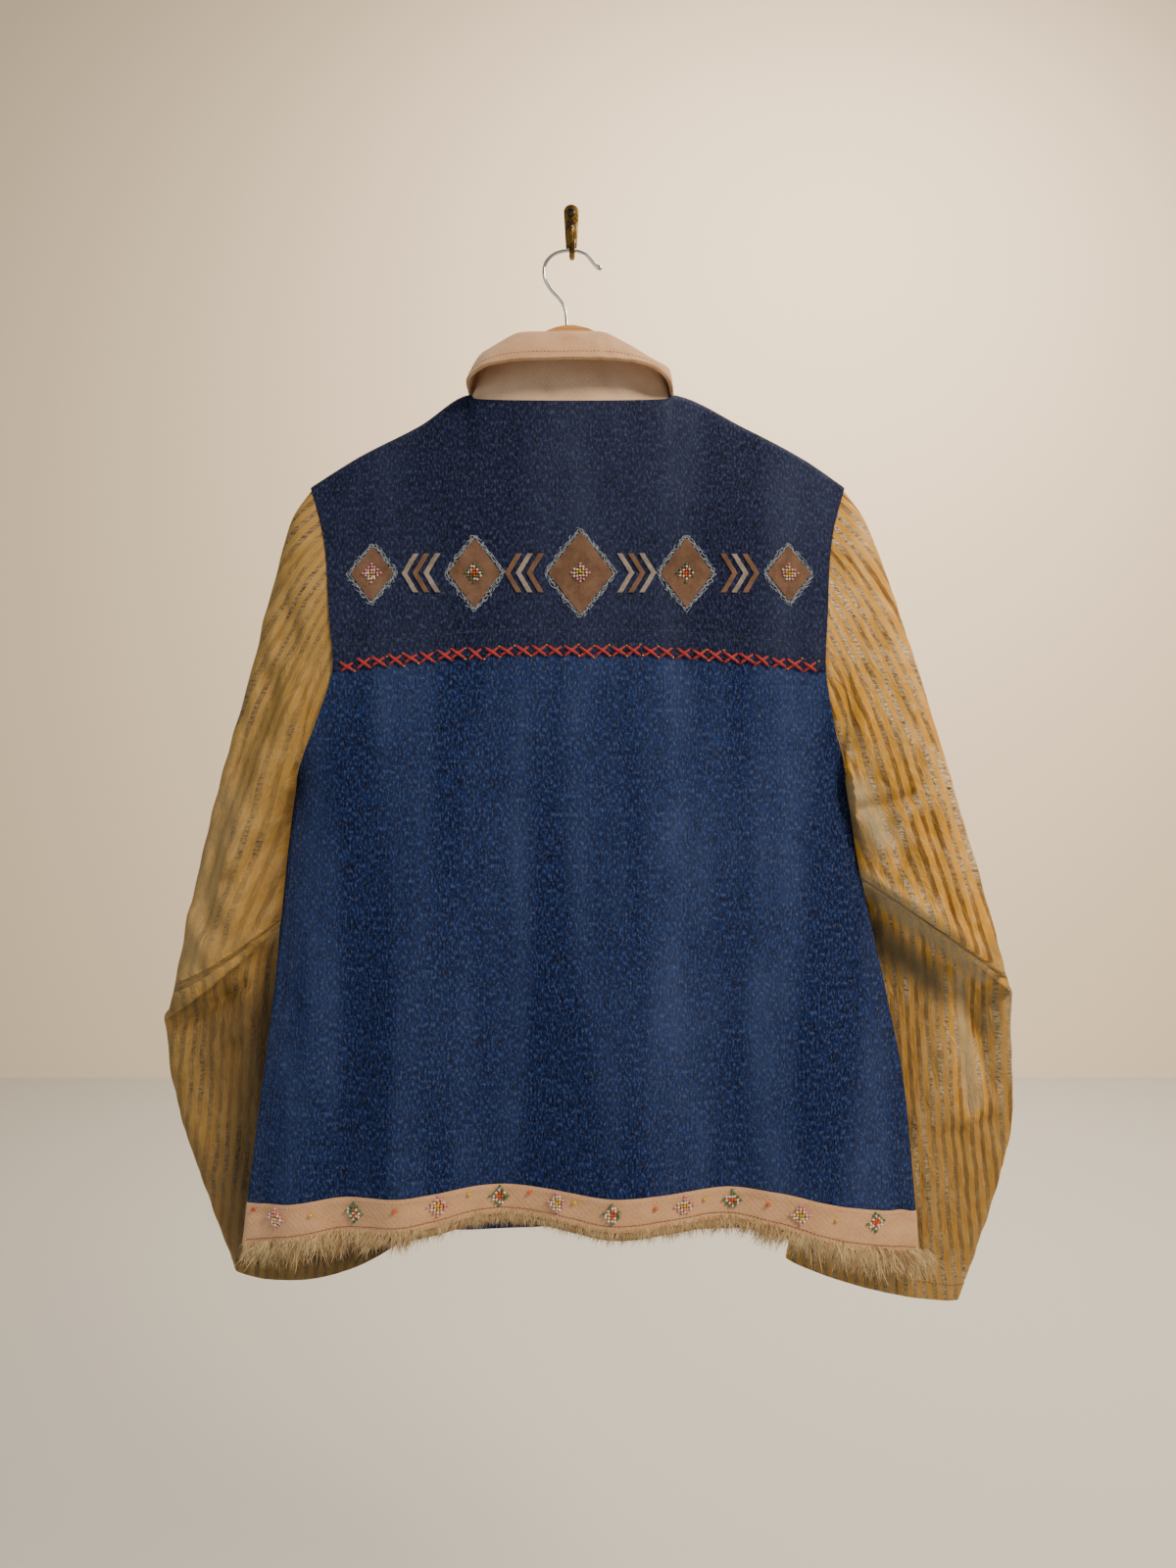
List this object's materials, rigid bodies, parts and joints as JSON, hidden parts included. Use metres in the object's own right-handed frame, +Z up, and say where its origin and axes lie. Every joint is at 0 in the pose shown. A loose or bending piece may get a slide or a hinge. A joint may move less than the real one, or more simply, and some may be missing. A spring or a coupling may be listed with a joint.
{
  "type": "denim jacket on a hanger and wall hook",
  "caption": "Denim jacket with striped velvet sleeves, banded fur-edged hem and geometric suede yoke border, hung back to view on a wooden hanger from a small brass wall hook.",
  "frame": {"origin": "middle of the wall hook plate's back face, where it meets the wall", "axes": "+Z up, along the jacket's length; +Y into the wall, away from the jacket's back; +X to the right as the jacket's back is seen"},
  "size_m": [0.6873, 0.1024, 0.8992],
  "materials": {
    "denim": "matt twill weave",
    "velvet": "crushed pile",
    "twill": "matt twill weave",
    "fur": "hair",
    "brown_suede": "suede",
    "grey_suede": "suede",
    "wood": "clear satin lacquer",
    "chrome": "bright plate",
    "brass": "aged, worn bright at the edges",
    "screw_steel": "dark oxide",
    "button_brass": "dull"
  },
  "bodies": {
    "root": {"back_yoke": "denim", "back_lower": "denim", "front_left": "denim", "front_right": "denim", "sleeve_left": "velvet", "sleeve_left_forearm": "velvet", "sleeve_right": "velvet", "hem_band": "twill", "fur_edging": "fur", "collar_stand": "twill", "collar_fall": "twill", "lozenge_1": "brown_suede", "lozenge_2": "brown_suede", "lozenge_3": "brown_suede", "lozenge_4": "brown_suede", "lozenge_5": "brown_suede", "chevron_1": "grey_suede", "chevron_2": "brown_suede", "chevron_3": "grey_suede", "chevron_4": "brown_suede", "chevron_5": "grey_suede", "chevron_6": "brown_suede", "chevron_7": "grey_suede", "chevron_8": "brown_suede", "chevron_9": "grey_suede", "chevron_10": "brown_suede", "chevron_11": "grey_suede", "chevron_12": "brown_suede", "button_1": "button_brass", "button_2": "button_brass", "button_3": "button_brass", "button_4": "button_brass", "button_5": "button_brass", "button_6": "button_brass", "hanger_wood": "wood", "hanger_hook": "chrome", "wall_hook_plate": "brass", "wall_hook_prong": "brass", "screw_1": "screw_steel", "screw_2": "screw_steel"}
  },
  "joints": []
}
